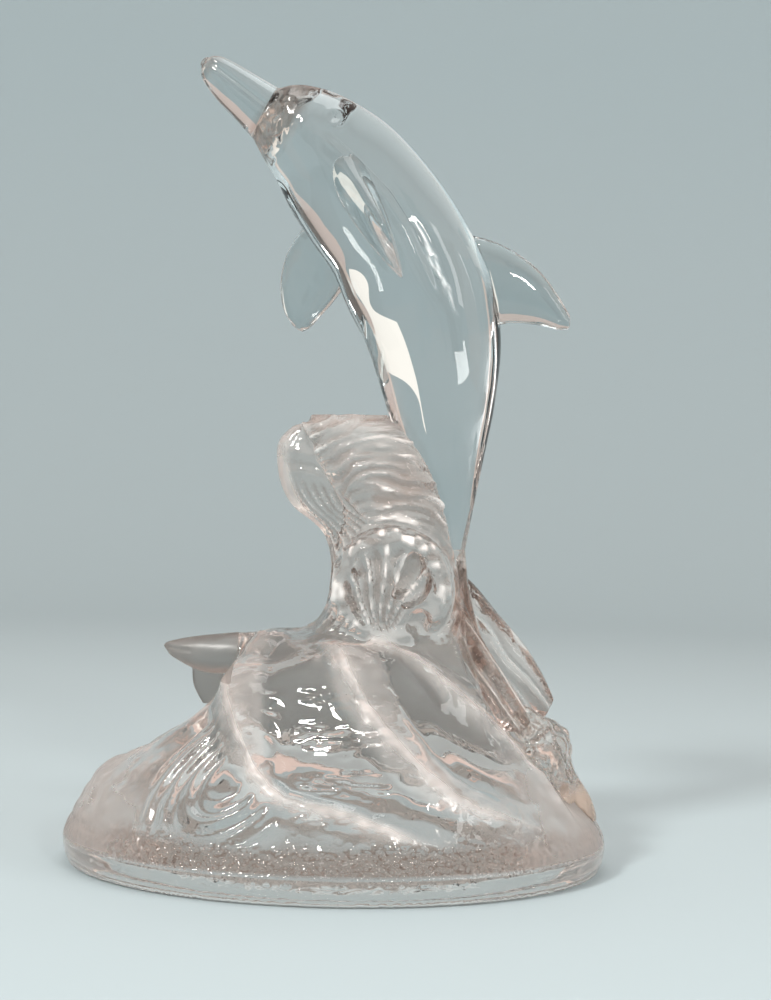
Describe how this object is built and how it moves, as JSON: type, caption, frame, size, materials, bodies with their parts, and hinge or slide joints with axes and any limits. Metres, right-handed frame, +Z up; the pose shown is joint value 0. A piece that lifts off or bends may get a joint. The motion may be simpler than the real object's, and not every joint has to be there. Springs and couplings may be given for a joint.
{
  "type": "crystal glass figurine",
  "caption": "Clear and frosted crystal figurine: a dolphin leaping from a breaking wave, with a small dolphin's head in the wave, on an oval foot.",
  "frame": {"origin": "middle of the foot's flat underside", "axes": "+Z up through the leap, +X towards the dolphin's dorsal side, -Y towards the side with the shell-shaped curl"},
  "size_m": [0.1192, 0.097, 0.177],
  "materials": {
    "clear_crystal": "polished",
    "frosted_crystal": "acid-frosted satin"
  },
  "bodies": {
    "root": {"base_foot": "clear_crystal", "base_rim": "frosted_crystal", "swell_left": "frosted_crystal", "swell_centre": "clear_crystal", "swell_right": "clear_crystal", "foam_crest": "frosted_crystal", "wave_column": "clear_crystal", "wave_lip": "frosted_crystal", "wave_curl": "frosted_crystal", "small_head": "frosted_crystal", "small_fin": "frosted_crystal", "tail_stock": "frosted_crystal", "fluke_front": "clear_crystal", "fluke_back": "clear_crystal", "dolphin_body": "clear_crystal", "dolphin_beak": "clear_crystal", "dorsal_fin": "clear_crystal", "pectoral_near": "clear_crystal", "pectoral_far": "clear_crystal"}
  },
  "joints": []
}
